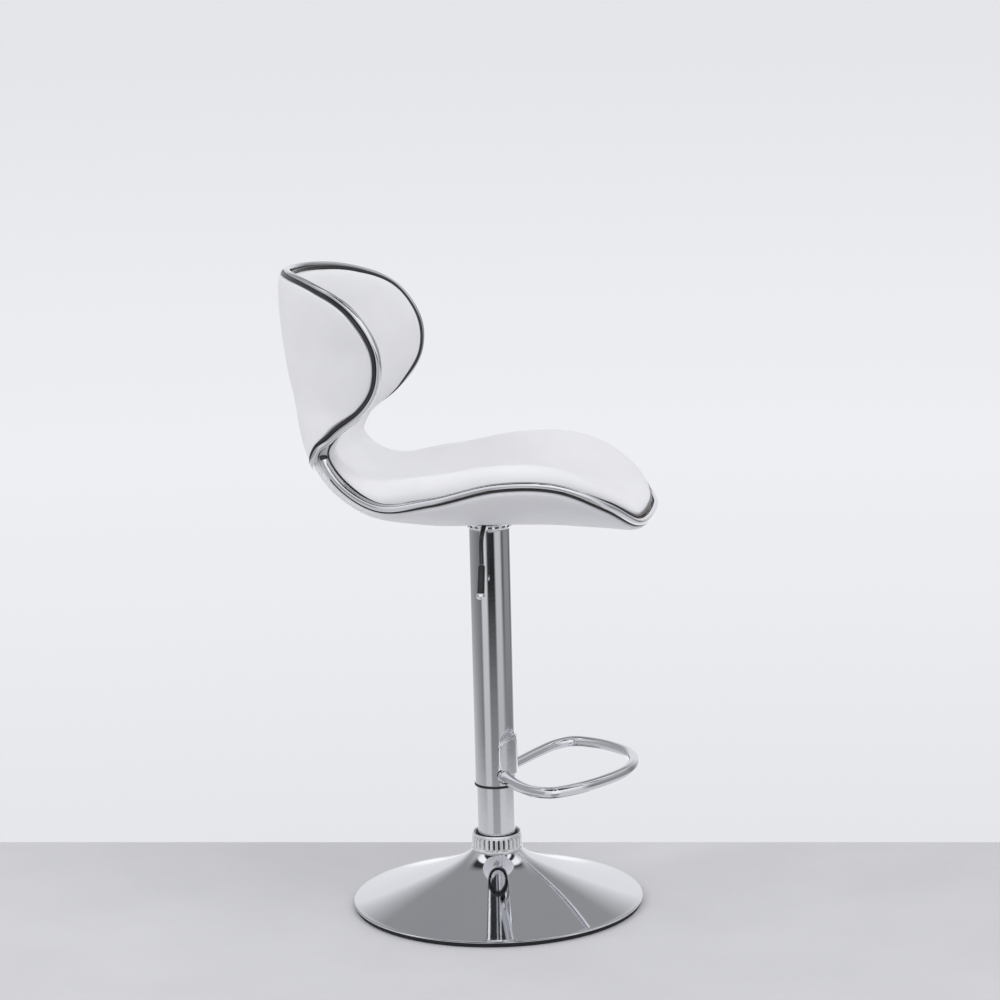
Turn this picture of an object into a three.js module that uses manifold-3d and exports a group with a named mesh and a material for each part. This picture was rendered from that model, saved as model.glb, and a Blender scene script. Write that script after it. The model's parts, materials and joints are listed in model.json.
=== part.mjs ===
// Adjustable swivel bar stool: flared pedestal base, telescoping column on a gas spring,
// footrest loop on the outer sleeve, and a one-piece bucket seat with winged back.
// Millimetres, +Z up, front of the seat along +X. Built about the column axis, which
// stands AXIS_X in front of the frame's origin so that the whole stool is centred.
import * as THREE from 'three';
import { mergeVertices } from 'three/addons/utils/BufferGeometryUtils.js';
import Module from 'manifold-3d';

const wasm = await Module();
wasm.setup();

// ---------- driving dimensions ----------
const AXIS_X = 22.5;
const BASE_R = 192.5;
const BASE_RIM_Z = 5.3;
const BASE_NECK_R = 32;
const BASE_NECK_Z = 73;
const BASE_SHEET = 1.8;
const TUBE_R = 25;
const TUBE_WALL = 1.6;
const TUBE_TOP = 490;
const SLEEVE_R = 27;
const SLEEVE_BORE = 25.8;
const SLEEVE_BOTTOM = 164;
const SLEEVE_TOP = 498;
const ROD_R = 5;
const CYLINDER_R = 14;
const CYLINDER_BOTTOM = 40;
const CYLINDER_TOP = 517;
const FOOTREST_Z = 179.5;
const FOOTREST_SLOPE = 0.067;
const FOOTREST_R = 7.5;
const BOARD_HALF = 4;
const BOARD_MOUNT_Z = 540;
const FLANGE_TOP = 535.6;
const BOLT_PITCH = 28.3;
const LEVER_R = 3;
const LEVER_PIVOT = [0, -32, 521];
const ROUND = 32;

// ---------- materials ----------
const standard = (color, roughness, metalness) =>
  new THREE.MeshStandardMaterial({ color, roughness, metalness });
const CHROME = standard(0xd8dade, 0.07, 1);
const STEEL = standard(0x9a9da2, 0.4, 1);
const BLACK_STEEL = standard(0x17171a, 0.3, 0);
const ZINC = standard(0xb4b6b4, 0.35, 1);
const WHITE_VINYL = standard(0xeeeef0, 0.45, 0);
const BLACK_VINYL = standard(0x19191c, 0.4, 0);
const BLACK_PLASTIC = standard(0x141416, 0.35, 0);
const RUBBER = standard(0x1a1a1a, 0.8, 0);
const BIRCH = standard(0xc9a873, 0.7, 0);
const BRASS = standard(0xb79a5b, 0.35, 1);

// ---------- geometry helpers ----------

// Merges shared corners, drops empty triangles and turns the faces outward.
function tidy(geometry) {
  geometry.deleteAttribute('normal');
  geometry.deleteAttribute('uv');
  const merged = mergeVertices(geometry, 1e-3);
  const position = merged.attributes.position;
  const index = merged.index.array;
  const a = new THREE.Vector3();
  const b = new THREE.Vector3();
  const c = new THREE.Vector3();
  const kept = [];
  let volume = 0;
  for (let i = 0; i < index.length; i += 3) {
    const [p, q, r] = [index[i], index[i + 1], index[i + 2]];
    if (p === q || q === r || r === p) continue;
    kept.push(p, q, r);
    a.fromBufferAttribute(position, p);
    b.fromBufferAttribute(position, q);
    c.fromBufferAttribute(position, r);
    volume += a.dot(b.cross(c));
  }
  if (volume < 0) kept.reverse();
  merged.setIndex(kept);
  return merged;
}

const toSolid = (geometry) => {
  const merged = tidy(geometry);
  const mesh = new wasm.Mesh({
    numProp: 3,
    vertProperties: new Float32Array(merged.attributes.position.array),
    triVerts: new Uint32Array(merged.index.array),
  });
  mesh.merge();
  return new wasm.Manifold(mesh);
};

const fromSolid = (solid) => {
  const mesh = solid.getMesh();
  const geometry = new THREE.BufferGeometry();
  const position = new THREE.BufferAttribute(new Float32Array(mesh.vertProperties), 3);
  geometry.setAttribute('position', position);
  geometry.setIndex(Array.from(mesh.triVerts));
  return geometry;
};

const join = (...parts) => fromSolid(parts.map(toSolid).reduce((a, b) => a.add(b)));
const cut = (body, ...tools) =>
  fromSolid(tools.map(toSolid).reduce((a, b) => a.subtract(b), toSolid(body)));

// A turned piece about the Z axis from [radius, height] pairs; a ring closes on itself.
function turned(profile, segments = ROUND) {
  const points = profile.map(([r, z]) => new THREE.Vector2(r, z));
  if (profile[0][0] > 0) points.push(points[0].clone());
  return tidy(new THREE.LatheGeometry(points, segments).rotateX(Math.PI / 2));
}

const ring = (inner, outer, z0, z1, segments = ROUND) =>
  turned([[inner, z0], [outer, z0], [outer, z1], [inner, z1]], segments);

function box(cx, cy, cz, dx, dy, dz) {
  return tidy(new THREE.BoxGeometry(dx, dy, dz).translate(cx, cy, cz));
}

// A cylinder centred on a point, its axis along x, y or z.
function rod(center, radius, length, axis = 'z', segments = 16) {
  const geometry = new THREE.CylinderGeometry(radius, radius, length, segments);
  if (axis === 'z') geometry.rotateX(Math.PI / 2);
  if (axis === 'x') geometry.rotateZ(Math.PI / 2);
  return tidy(geometry.translate(...center));
}

// A round bar along a smooth curve through the points, with flat ends.
function bar(points, radius, steps, sides = 8) {
  const curve = new THREE.CatmullRomCurve3(points.map((p) => new THREE.Vector3(...p)));
  const circle = new THREE.Shape();
  for (let i = 0; i < sides; i += 1) {
    const angle = (i / sides) * 2 * Math.PI;
    const x = radius * Math.cos(angle);
    const y = radius * Math.sin(angle);
    if (i === 0) circle.moveTo(x, y);
    else circle.lineTo(x, y);
  }
  circle.closePath();
  return tidy(new THREE.ExtrudeGeometry(circle, { steps, extrudePath: curve }));
}

// A closed skin over rows of rings; every ring is a list of points running once round.
// Each four-sided cell is split along its other diagonal from ring point flipFrom on.
function closedSkin(rings, looped = false, flipFrom = Infinity) {
  const around = rings[0].length;
  const strips = looped ? rings.length : rings.length - 1;
  const index = [];
  for (let i = 0; i < strips; i += 1) {
    const here = i * around;
    const next = ((i + 1) % rings.length) * around;
    for (let k = 0; k < around; k += 1) {
      const turn = (k + 1) % around;
      const [a, b, c, d] = [here + k, here + turn, next + turn, next + k];
      if (k < flipFrom) index.push(a, b, c, a, c, d);
      else index.push(a, b, d, b, c, d);
    }
  }
  const geometry = new THREE.BufferGeometry().setFromPoints(rings.flat());
  geometry.setIndex(index);
  return tidy(geometry);
}

// ---------- the seat's surface ----------

// Stations down the shell from the top of the back to the front of the seat:
// [edge x, half width, edge z, middle x, middle z], each a row across the shell.
const STATIONS = [
  [-253, 0, 847, -253, 847],
  [-234, 79, 845.5, -252, 825],
  [-192, 138, 835, -250.5, 800],
  [-143.5, 172, 809, -249, 773],
  [-112, 176, 759, -246, 742],
  [-113, 169, 714, -241.5, 712],
  [-137.5, 150, 677, -235, 681],
  [-177.5, 131, 646.5, -230, 650],
  [-192, 125, 622, -221, 618],
  [-170.5, 137, 588, -202, 585],
  [-116, 166, 562, -152, 553],
  [-50, 180, 571, -72, 541],
  [35, 185, 591, 15, 540],
  [110, 185, 589.5, 95, 540],
  [170, 165, 562.5, 155, 537],
  [202, 112, 534, 192, 533],
  [216, 0, 532, 216, 532],
];
const LAST = STATIONS.length - 1;
const WAIST = 8.5;

const leftEdge = STATIONS.map(([x, w, z]) => new THREE.Vector3(x, w, z));
const rightEdge = leftEdge.slice(1, LAST).reverse().map((p) => new THREE.Vector3(p.x, -p.y, p.z));
const EDGE = new THREE.CatmullRomCurve3([...leftEdge, ...rightEdge], true, 'centripetal');
const MIDDLE = new THREE.CatmullRomCurve3(
  STATIONS.map((row) => new THREE.Vector3(row[3], 0, row[4])), false, 'centripetal');

const edgePoint = (s) => EDGE.getPoint(s / (2 * LAST));
const middlePoint = (s) => MIDDLE.getPoint(s / LAST);

// The surface's point at station s, v running from -1 at the right edge to 1 at the left:
// every row across is a parabola from the middle line up to the edges.
function surface(s, v) {
  const e = edgePoint(s);
  const m = middlePoint(s);
  return new THREE.Vector3(
    m.x + (e.x - m.x) * v * v,
    e.y * v,
    m.z + (e.z - m.z) * v * v,
  );
}

// The surface's normal, towards the person sitting.
function normal(s, v) {
  const t = THREE.MathUtils.clamp(s, 0.15, LAST - 0.15);
  const across = surface(t, v + 0.02).sub(surface(t, v - 0.02));
  const down = surface(t + 0.04, v).sub(surface(t - 0.04, v));
  return down.cross(across).normalize();
}

// A frame on the left edge: c the point, o outward in the surface, n towards the sitter.
function edgeFrame(s) {
  const c = edgePoint(s);
  const along = edgePoint(Math.min(s + 0.03, LAST)).sub(edgePoint(Math.max(s - 0.03, 0)));
  if (s < 0.03) along.set(0, 1, 0);
  if (s > LAST - 0.03) along.set(0, -1, 0);
  along.normalize();
  const t = THREE.MathUtils.clamp(s, 1, LAST - 1);
  const inside = surface(t, 0.7 * Math.min(1, c.y / edgePoint(t).y));
  const o = c.clone().sub(inside);
  o.addScaledVector(along, -o.dot(along)).normalize();
  return { c, o, n: along.clone().cross(o) };
}

const mirrored = ({ c, o, n }) => ({
  c: new THREE.Vector3(c.x, -c.y, c.z),
  o: new THREE.Vector3(o.x, -o.y, o.z),
  n: new THREE.Vector3(n.x, -n.y, n.z),
});

const smooth = THREE.MathUtils.smoothstep;
const mix = THREE.MathUtils.lerp;
const EDGE_SAMPLES = Array.from({ length: 161 }, (_, i) => edgeFrame((i / 160) * LAST));
const ALL_EDGE = [...EDGE_SAMPLES, ...EDGE_SAMPLES.map(mirrored)];

function nearest(point, frames) {
  let best = frames[0];
  let least = Infinity;
  for (const frame of frames) {
    const distance = frame.c.distanceToSquared(point);
    if (distance < least) {
      least = distance;
      best = frame;
    }
  }
  return { frame: best, distance: Math.sqrt(least) };
}

// Every layer shares one grid of rows and columns, so that neighbours stay parallel.
const COLUMNS = 8;
const ROWS = Array.from({ length: 2 * LAST + 1 }, (_, i) => i / 2);

// A layer of the shell between stations s0 and s1. low and high give its two faces'
// heights above the middle surface from the distance to its outline; inset pulls the
// outline in from the shell's edge. An end that isn't a tip is closed by a flat face.
function layer({ s0, s1, inset, low, high }) {
  const ends = [s0, s1].filter((s) => s > 0 && s < LAST);
  const endLine = ends.flatMap((s) =>
    Array.from({ length: 31 }, (_, i) => ({ c: surface(s, i / 15 - 1) })));
  const rowRing = (s, thickness) => {
    const top = [];
    const bottom = [];
    for (let j = 0; j <= COLUMNS; j += 1) {
      const v = Math.sin((Math.PI / 2) * ((2 * j) / COLUMNS - 1));
      const p = surface(s, v);
      const edge = nearest(p, ALL_EDGE);
      const toEnd = ends.length ? nearest(p, endLine).distance : Infinity;
      const pull = inset(s) * Math.max(0, 1 - edge.distance / 55) ** 2;
      const base = p.addScaledVector(edge.frame.o, -pull);
      const d = Math.min(edge.distance, toEnd);
      const n = normal(s, s > 0 && s < LAST ? v : 0);
      const up = high(s, d);
      const down = low(s, d);
      const middle = (up + down) / 2;
      top.push(base.clone().addScaledVector(n, mix(middle, up, thickness)));
      bottom.push(base.clone().addScaledVector(n, mix(middle, down, thickness)));
    }
    return [...top, ...bottom.reverse()];
  };
  const rings = [];
  if (s0 > 0) rings.push(rowRing(s0, 0));
  const inner = ROWS.filter((s) => s > s0 && s < s1);
  for (const s of [s0, ...inner, s1]) rings.push(rowRing(s, 1));
  if (s1 < LAST) rings.push(rowRing(s1, 0));
  return closedSkin(rings, false, COLUMNS + 1);
}

// Quarter-round rise from 0 at the outline to 1 at distance radius.
const rise = (d, radius) => Math.sqrt(1 - (1 - Math.min(d / radius, 1)) ** 2);

// A strip swept along frames: section gives [o, n] offsets round it at frame i.
function strip(frames, section, looped) {
  const rings = frames.map(({ c, o, n }, i) =>
    section(i / (frames.length - 1)).map(([a, b]) =>
      c.clone().addScaledVector(o, a).addScaledVector(n, b)));
  if (looped) return closedSkin(rings, true);
  const cap = (ringPoints) => {
    const centre = new THREE.Vector3();
    ringPoints.forEach((p) => centre.addScaledVector(p, 1 / ringPoints.length));
    return ringPoints.map(() => centre.clone());
  };
  return closedSkin([cap(rings[0]), ...rings, cap(rings[rings.length - 1])]);
}

function oval(centre, half, sides) {
  return Array.from({ length: sides }, (_, i) => {
    const angle = ((i + 0.5) / sides) * 2 * Math.PI;
    return [centre[0] + half[0] * Math.cos(angle), centre[1] + half[1] * Math.sin(angle)];
  });
}

// Frames down the left edge from station a to b, then back up the right edge.
function edgePath(a, b, steps) {
  const left = Array.from({ length: steps + 1 }, (_, i) => edgeFrame(mix(a, b, i / steps)));
  const right = left.slice(0, steps).reverse().map(mirrored);
  return [...left, ...right];
}

// The closed path round the back panel: down the edge to the waist, round the corner
// and across behind the shell, then up the other edge.
function backPath(steps) {
  const left = [];
  for (let i = 0; i <= 14; i += 1) left.push(edgeFrame(i * 0.52));
  const corner = [
    [[-198, 127, 628.5], [-0.35, 0.93, -0.1]],
    [[-205.5, 121, 614], [-0.6, 0.75, -0.25]],
    [[-209, 104, 604], [-0.8, 0.45, -0.4]],
    [[-216, 74, 598], [-0.88, 0.22, -0.42]],
    [[-223, 38, 594.5], [-0.9, 0.08, -0.44]],
    [[-226, 0, 593.5], [-0.9, 0, -0.44]],
  ];
  for (const [c, o] of corner) {
    left.push({ c: new THREE.Vector3(...c), o: new THREE.Vector3(...o).normalize() });
  }
  const right = left.slice(1, -1).reverse().map(({ c, o }) => ({
    c: new THREE.Vector3(c.x, -c.y, c.z),
    o: new THREE.Vector3(o.x, -o.y, o.z),
  }));
  const all = [...left, ...right];
  const line = new THREE.CatmullRomCurve3(all.map((f) => f.c), true, 'centripetal');
  const facing = new THREE.CatmullRomCurve3(all.map((f) => f.o), true, 'centripetal');
  return Array.from({ length: steps }, (_, i) => {
    const t = i / steps;
    const tangent = line.getTangent(t);
    const o = facing.getPoint(t);
    o.addScaledVector(tangent, -o.dot(tangent)).normalize();
    return { c: line.getPoint(t), o, n: tangent.clone().cross(o) };
  });
}

// ---------- assembly ----------
const stool = new THREE.Group();
stool.position.x = AXIS_X;

function add(name, geometry, material) {
  const mesh = new THREE.Mesh(geometry, material);
  mesh.name = name;
  stool.add(mesh);
  return mesh;
}

// Base: pressed dish flaring up to the column, floor plate and rubber ring inside it.
function dishHeight(r) {
  const t = Math.max((BASE_R - 4 - r) / (BASE_R - 4 - BASE_NECK_R), 0);
  const share = 0.645 * t + 0.17 * t ** 2 + 0.185 * t ** 12;
  return mix(BASE_RIM_Z + 2.6, BASE_NECK_Z, share);
}
const dishRadii = [188.5, 163, 138, 114, 92, 73, 57, 43, BASE_NECK_R];
const dishOuter = dishRadii.map((r) => [r, dishHeight(r)]);
const dishInner = dishRadii.map((r) => [r - 1.2, dishHeight(r) - BASE_SHEET])
  .filter((_, i) => i % 2 === 0).reverse();
add('base_dish', turned([
  [BASE_R - 1.2, BASE_RIM_Z],
  [BASE_R, BASE_RIM_Z + 1.2],
  [BASE_R, BASE_RIM_Z + 2],
  [BASE_R - 1.5, BASE_RIM_Z + 2.6],
  ...dishOuter,
  [TUBE_R + 0.4, BASE_NECK_Z],
  [TUBE_R + 0.4, BASE_NECK_Z - BASE_SHEET],
  ...dishInner,
], 40), CHROME);
add('floor_ring', turned([
  [173.5, 0], [190.5, 0], [190.5, 4.9], [178, 4.9], [178, 2], [173.5, 2],
], 40), RUBBER);
add('base_plate', turned([
  [12, 2.3], [177.6, 2.3], [177.6, 4.9], [12, 4.9],
], 40), STEEL);
const flangeHole = (i) => {
  const angle = Math.PI / 6 + (i * 2 * Math.PI) / 3;
  return [36 * Math.cos(angle), 36 * Math.sin(angle)];
};
const flangeHoles = [0, 1, 2].map((i) => rod([...flangeHole(i), 10], 2.7, 30, 'z', 8));
add('column_flange', cut(ring(TUBE_R + 0.3, 44, 5.2, 13), ...flangeHoles), STEEL);
const plateMesh = stool.getObjectByName('base_plate');
plateMesh.geometry = cut(plateMesh.geometry, ...flangeHoles);
for (const i of [0, 1, 2]) {
  const [x, y] = flangeHole(i);
  const screw = turned([[0, 0.5], [4.6, 0.5], [4.6, 2], [2.4, 2], [2.4, 12], [0, 12]], 8);
  add(`plate_screw_${i + 1}`, screw.translate(x, y, 0), ZINC);
}

// Lower tube, its closed foot, and the ribbed collar where it enters the dish.
add('base_tube', turned([
  [5.7, 9.5], [TUBE_R, 9.5], [TUBE_R, TUBE_TOP], [TUBE_R - TUBE_WALL, TUBE_TOP],
  [TUBE_R - TUBE_WALL, 13.5], [5.7, 13.5],
]), CHROME);
const collarBody = turned([
  [25.5, 73.4], [33.6, 73.4], [34.2, 75], [30.6, 79], [30.6, 87.6],
  [33.2, 93.2], [32.6, 96.6], [30.4, 96.2], [28.6, 92.5], [25.5, 91.8],
], 24);
const ribs = Array.from({ length: 20 }, (_, i) =>
  box(30.4, 0, 83.3, 4, 3.2, 9.4).rotateZ(((i + 0.5) / 20) * 2 * Math.PI));
add('collar_ring', join(collarBody, ...ribs), CHROME);
add('collar_gasket', turned([[25.3, 92.2], [28.1, 93], [27.4, 95.4], [25.3, 96]]), RUBBER);
add('guide_bush', turned([
  [14.5, 440], [23, 440], [23, 490.3], [24.9, 490.3], [24.9, 494], [14.5, 494],
], 24), BLACK_PLASTIC);

// Gas spring: the rod stands on the tube's foot, the cylinder rides up and down on it.
add('rod_clip', ring(5.3, 8.6, 6.4, 8.4, 16), ZINC);
add('piston_rod', turned([
  [0, 6], [ROD_R, 6], [ROD_R, 32.2], [8, 32.2], [8, 36], [ROD_R, 36], [ROD_R, 288],
  [4, 290], [0, 290],
], 16), STEEL);
add('thrust_washer', ring(5.4, 12, 13.9, 16.2, 16), STEEL);
add('thrust_bearing', ring(5.4, 13, 16.5, 21, 16), BRASS);
add('buffer_ring', turned([[5.4, 21.4], [13.5, 21.4], [12, 26.5], [13.5, 31.8], [5.4, 31.8]], 16),
  RUBBER);
add('gas_cylinder', turned([
  [5.8, CYLINDER_BOTTOM], [13, CYLINDER_BOTTOM], [CYLINDER_R, CYLINDER_BOTTOM + 1.5],
  [CYLINDER_R, 492], [13.2, CYLINDER_TOP - 1], [12.4, CYLINDER_TOP],
  [4.6, CYLINDER_TOP], [4.6, 503], [0, 503], [0, 300], [5.8, 300], [5.8, CYLINDER_BOTTOM],
], 24), BLACK_STEEL);
add('valve_button', turned([[0, 508], [4.1, 508], [4.1, 520.8], [3.3, 521.4], [0, 521.4]], 16), ZINC);

// Outer sleeve with its bush, and the flared cone that closes it under the seat.
add('sleeve', turned([
  [SLEEVE_BORE, SLEEVE_BOTTOM], [SLEEVE_R, SLEEVE_BOTTOM], [SLEEVE_R, SLEEVE_TOP],
  [SLEEVE_BORE, SLEEVE_TOP],
]), CHROME);
add('sleeve_bush', turned([
  [25.3, 160.6], [27.6, 160.6], [28, 162.2], [27.6, 163.7], [25.3, 163.7],
]), BLACK_PLASTIC);
const coneWall = turned([
  [14.8, 498.4], [27.4, 498.4], [27.8, 505], [30, 510.6], [34, 514.4], [32, 514.4],
  [28.4, 511], [26.2, 505], [25.6, 500.4], [14.8, 500.4],
], 20);
const coneSlots = Array.from({ length: 20 }, (_, i) =>
  box(30, 0, 510, 10, 5, 3.4).rotateZ(((i + 0.5) / 20) * 2 * Math.PI));
add('hub_cone', cut(coneWall, ...coneSlots), CHROME);

// Release bracket: a taper socket, two cheeks and a round flange bolted to the board.
const boltSpots = [[1, 1], [-1, 1], [-1, -1], [1, -1]].map(([x, y]) =>
  [x * BOLT_PITCH, y * BOLT_PITCH]);
const boltHoles = boltSpots.map(([x, y]) => rod([x, y, 536], 3.4, 30, 'z', 8));
const bracket = join(
  ring(14.5, 22, 501.4, 518),
  box(17.5, -8, 524.5, 4, 66, 15.4),
  box(-17.5, -8, 524.5, 4, 66, 15.4),
  box(0, 23, 524.5, 36, 4, 15.4),
  turned([[0, 531.6], [50, 531.6], [50, FLANGE_TOP], [0, FLANGE_TOP]]),
);
add('release_bracket', cut(bracket, rod(LEVER_PIVOT, 2.9, 60, 'x'), ...boltHoles), ZINC);
add('pivot_pin', rod(LEVER_PIVOT, 2.5, 46, 'x'), STEEL);
boltSpots.forEach(([x, y], i) => {
  const head = new THREE.CylinderGeometry(5.7, 5.7, 4.4, 6).rotateX(Math.PI / 2);
  const bolt = join(head.translate(0, 0, 529.1), rod([0, 0, 537], 3, 12.6, 'z', 8));
  add(`seat_bolt_${i + 1}`, bolt.translate(x, y, 0), ZINC);
});

// Lever: an arm over the valve button, an eye on the pin, then down beside the sleeve.
const arm = bar([[0, 2, 525.4], [0, -14, 524.6], [0, -32, 521], [-1.6, -46, 513.4],
  [-2.8, -58.5, 502.5], [-2.2, -67, 489], [-1.3, -73, 471]], LEVER_R, 20);
const eye = rod(LEVER_PIVOT, 6.5, 14, 'x');
add('lever_arm', cut(join(arm, eye), rod(LEVER_PIVOT, 2.9, 40, 'x')), BLACK_STEEL);
const gripTilt = 0.4;
const gripGroup = new THREE.Group();
gripGroup.position.set(-1.3, -73, 470.6);
gripGroup.rotation.x = -gripTilt;
const grip = new THREE.Mesh(turned([
  [0, -0.4], [3.8, -0.4], [4.4, -2], [4.8, -37.6], [0, -37.6],
], 20), BLACK_PLASTIC);
grip.name = 'lever_grip';
const cap = new THREE.Mesh(turned([
  [0, -37.9], [5.4, -37.9], [5.8, -39.5], [5.6, -42.5], [4.2, -44.6], [0, -45.2],
], 20), CHROME);
cap.name = 'lever_cap';
gripGroup.add(grip, cap);
stool.add(gripGroup);

// Footrest: a thin saddle round the sleeve's front, and a bent loop let into it.
const SADDLE_ANGLE = 1.27;
const saddleRings = [];
for (let i = 0; i <= 20; i += 1) {
  const angle = mix(-SADDLE_ANGLE, SADDLE_ANGLE, i / 20);
  const arch = Math.cos((angle / SADDLE_ANGLE) * (Math.PI / 2)) ** 2;
  const low = 186 - 9 * Math.min(1, 2 * arch);
  const high = 222 + 6 * Math.sqrt(arch);
  const spot = (r, z) => new THREE.Vector3(r * Math.cos(angle), r * Math.sin(angle), z);
  saddleRings.push([
    spot(27.4, low), spot(29.3, low), spot(29.9, low + 2), spot(29.9, high - 2),
    spot(29.3, high), spot(27.4, high),
  ]);
}
const saddleEnd = (points, angle) => points.map((p) =>
  new THREE.Vector3(28.4 * Math.cos(angle), 28.4 * Math.sin(angle), 201));
saddleRings.unshift(saddleEnd(saddleRings[0], -SADDLE_ANGLE));
saddleRings.push(saddleEnd(saddleRings[1], SADDLE_ANGLE));
add('footrest_saddle', closedSkin(saddleRings), CHROME);
const loopHalf = [[10, 16], [24, 44], [46, 86], [67, 115], [90, 127], [121, 112], [151, 83], [175, 45]];
const loopZ = (x) => FOOTREST_Z + FOOTREST_SLOPE * x - 3.5 * (1 - smooth(x, 20, 85));
const loopPlan = [
  ...loopHalf.map(([x, y]) => [x, -y]),
  [184, 0],
  ...[...loopHalf].reverse(),
];
const loopPoints = loopPlan.map(([x, y]) => [x, y, loopZ(x)]);
const columnCut = rod([0, 0, FOOTREST_Z], 30.4, 60, 'z', 32);
add('footrest_loop', cut(bar(loopPoints, FOOTREST_R, 52, 8), columnCut), CHROME);

// Seat board, upholstery on both faces, and the trim along the edge.
const isSeat = (s) => smooth(s, 8, 9.5);
const boardHoles = boltSpots.map(([x, y]) => rod([x, y, BOARD_MOUNT_Z], 3.5, 30, 'z', 8));
add('seat_board', cut(layer({
  s0: 0,
  s1: LAST,
  inset: (s) => mix(7, 9.4, isSeat(s)),
  low: () => -BOARD_HALF,
  high: () => BOARD_HALF,
}), ...boardHoles), BIRCH);

const cushionDepth = (s) => mix(24, 37, smooth(s, 8.5, 11)) - 9 * smooth(s, 12.6, 15);
add('seat_cushion', layer({
  s0: 0,
  s1: LAST,
  inset: (s) => mix(6.8, 7.4, isSeat(s)),
  low: () => BOARD_HALF + 1.4,
  high: (s, d) => 8 + (cushionDepth(s) - 8) * rise(d, mix(46, 36, isSeat(s))),
}), WHITE_VINYL);

add('back_panel', layer({
  s0: 0,
  s1: WAIST - 0.5,
  inset: (s) => 5.8 + 9 * smooth(s, 6.8, 8),
  low: (s, d) => -9.2 - 5.3 * rise(d, 60),
  high: () => -BOARD_HALF - 1.3,
}), WHITE_VINYL);

const bellyDepth = (s) => mix(12, 24.5, smooth(s, 9.2, 11.6));
add('seat_belly', cut(layer({
  s0: WAIST + 0.1,
  s1: LAST,
  inset: () => 5.2,
  low: (s, d) => -8.6 - (bellyDepth(s) - 8.6) * rise(d, mix(40, 100, smooth(s, 9, 12))),
  high: () => -BOARD_HALF - 1.2,
}), rod([0, 0, 520], 54, 60, 'z', 32)), WHITE_VINYL);

const atEnds = (t, reach) => Math.min(1, t / reach, (1 - t) / reach);
const backLoop = backPath(72);
const waistward = (t) => 1 - smooth(Math.abs(t - 0.5), 0.05, 0.16);
const loopStrip = (section) => {
  const share = (t) => (t * (backLoop.length - 1)) / backLoop.length;
  return strip(backLoop, (t) => section(waistward(share(t))), true);
};
add('back_trim', loopStrip((w) => oval([0, 0], [mix(3.9, 4, w), mix(3.9, 5, w)], 6)), CHROME);
add('back_piping', loopStrip((w) => oval([mix(-2, 0, w), mix(-6.1, -7.7, w)], [2.2, 2.2], 5)),
  BLACK_VINYL);

const TRIM_START = 8.15;
add('seat_trim', strip(edgePath(TRIM_START, LAST, 30), (t) => {
  const size = mix(0.8, 1, atEnds(t, 0.04));
  return oval([0, 0], [4.2 * size, 4.3 * size], 6);
}, false), CHROME);
const capFrames = Array.from({ length: 7 }, (_, i) => edgeFrame(TRIM_START - 0.155 + i * 0.025));
const capSection = (t) => {
  const size = Math.sqrt(1 - (1.8 * (t - 0.5)) ** 2);
  return oval([0, 0], [4.6 * size, 4.7 * size], 8);
};
add('trim_cap_left', strip(capFrames, capSection, false), BLACK_PLASTIC);
add('trim_cap_right', strip([...capFrames].reverse().map(mirrored), capSection, false),
  BLACK_PLASTIC);
add('seat_piping', strip(edgePath(WAIST + 0.25, LAST, 28), () => oval([-1.5, -6.4], [1.9, 1.9], 5),
  false), BLACK_VINYL);
const innerPath = edgePath(0, LAST, 44).slice(0, -1);
add('inner_piping', strip(innerPath, (t) => {
  const s = LAST * (1 - Math.abs(2 * t - 1));
  return oval([mix(-4.1, -6.6, isSeat(s)), mix(5.3, 3, isSeat(s))], [2, 2], 5);
}, true), BLACK_VINYL);

export default stool;
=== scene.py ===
import json
import math

import bmesh
import bpy
import numpy as np
from mathutils import Matrix, Vector
from mathutils.kdtree import KDTree


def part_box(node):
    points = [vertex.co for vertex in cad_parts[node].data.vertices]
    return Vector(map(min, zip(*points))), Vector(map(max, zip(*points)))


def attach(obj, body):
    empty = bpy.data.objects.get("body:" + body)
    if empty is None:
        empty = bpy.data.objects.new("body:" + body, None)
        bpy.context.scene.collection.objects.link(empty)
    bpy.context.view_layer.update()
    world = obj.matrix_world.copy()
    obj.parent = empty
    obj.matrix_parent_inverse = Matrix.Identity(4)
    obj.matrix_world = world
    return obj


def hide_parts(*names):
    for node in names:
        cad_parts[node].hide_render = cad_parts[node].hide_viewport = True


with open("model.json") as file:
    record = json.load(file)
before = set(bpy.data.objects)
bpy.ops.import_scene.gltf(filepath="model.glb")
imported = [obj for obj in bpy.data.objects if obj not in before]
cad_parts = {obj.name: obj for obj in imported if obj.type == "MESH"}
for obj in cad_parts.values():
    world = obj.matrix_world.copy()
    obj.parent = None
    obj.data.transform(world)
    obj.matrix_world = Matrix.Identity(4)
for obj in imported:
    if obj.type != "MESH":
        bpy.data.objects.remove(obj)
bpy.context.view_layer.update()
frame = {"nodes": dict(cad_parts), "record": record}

MM = 0.001
tube_low, tube_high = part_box("base_tube")
AXIS_X = (tube_low.x + tube_high.x) / 2
SHARP_ANGLE = 38


# ---------- materials ----------

def link(tree, a, b):
    """Joins output a to input b."""
    tree.links.new(a, b)


def noise(tree, coords, scale, detail=3.0, rough=0.5, stretch=None):
    """A noise texture in the row frame; stretch scales the three axes first."""
    node = tree.nodes.new("ShaderNodeTexNoise")
    node.inputs["Scale"].default_value = scale
    node.inputs["Detail"].default_value = detail
    node.inputs["Roughness"].default_value = rough
    if stretch:
        mapping = tree.nodes.new("ShaderNodeMapping")
        mapping.inputs["Scale"].default_value = stretch
        link(tree, coords, mapping.inputs["Vector"])
        coords = mapping.outputs["Vector"]
    link(tree, coords, node.inputs["Vector"])
    return node.outputs["Fac"]


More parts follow.
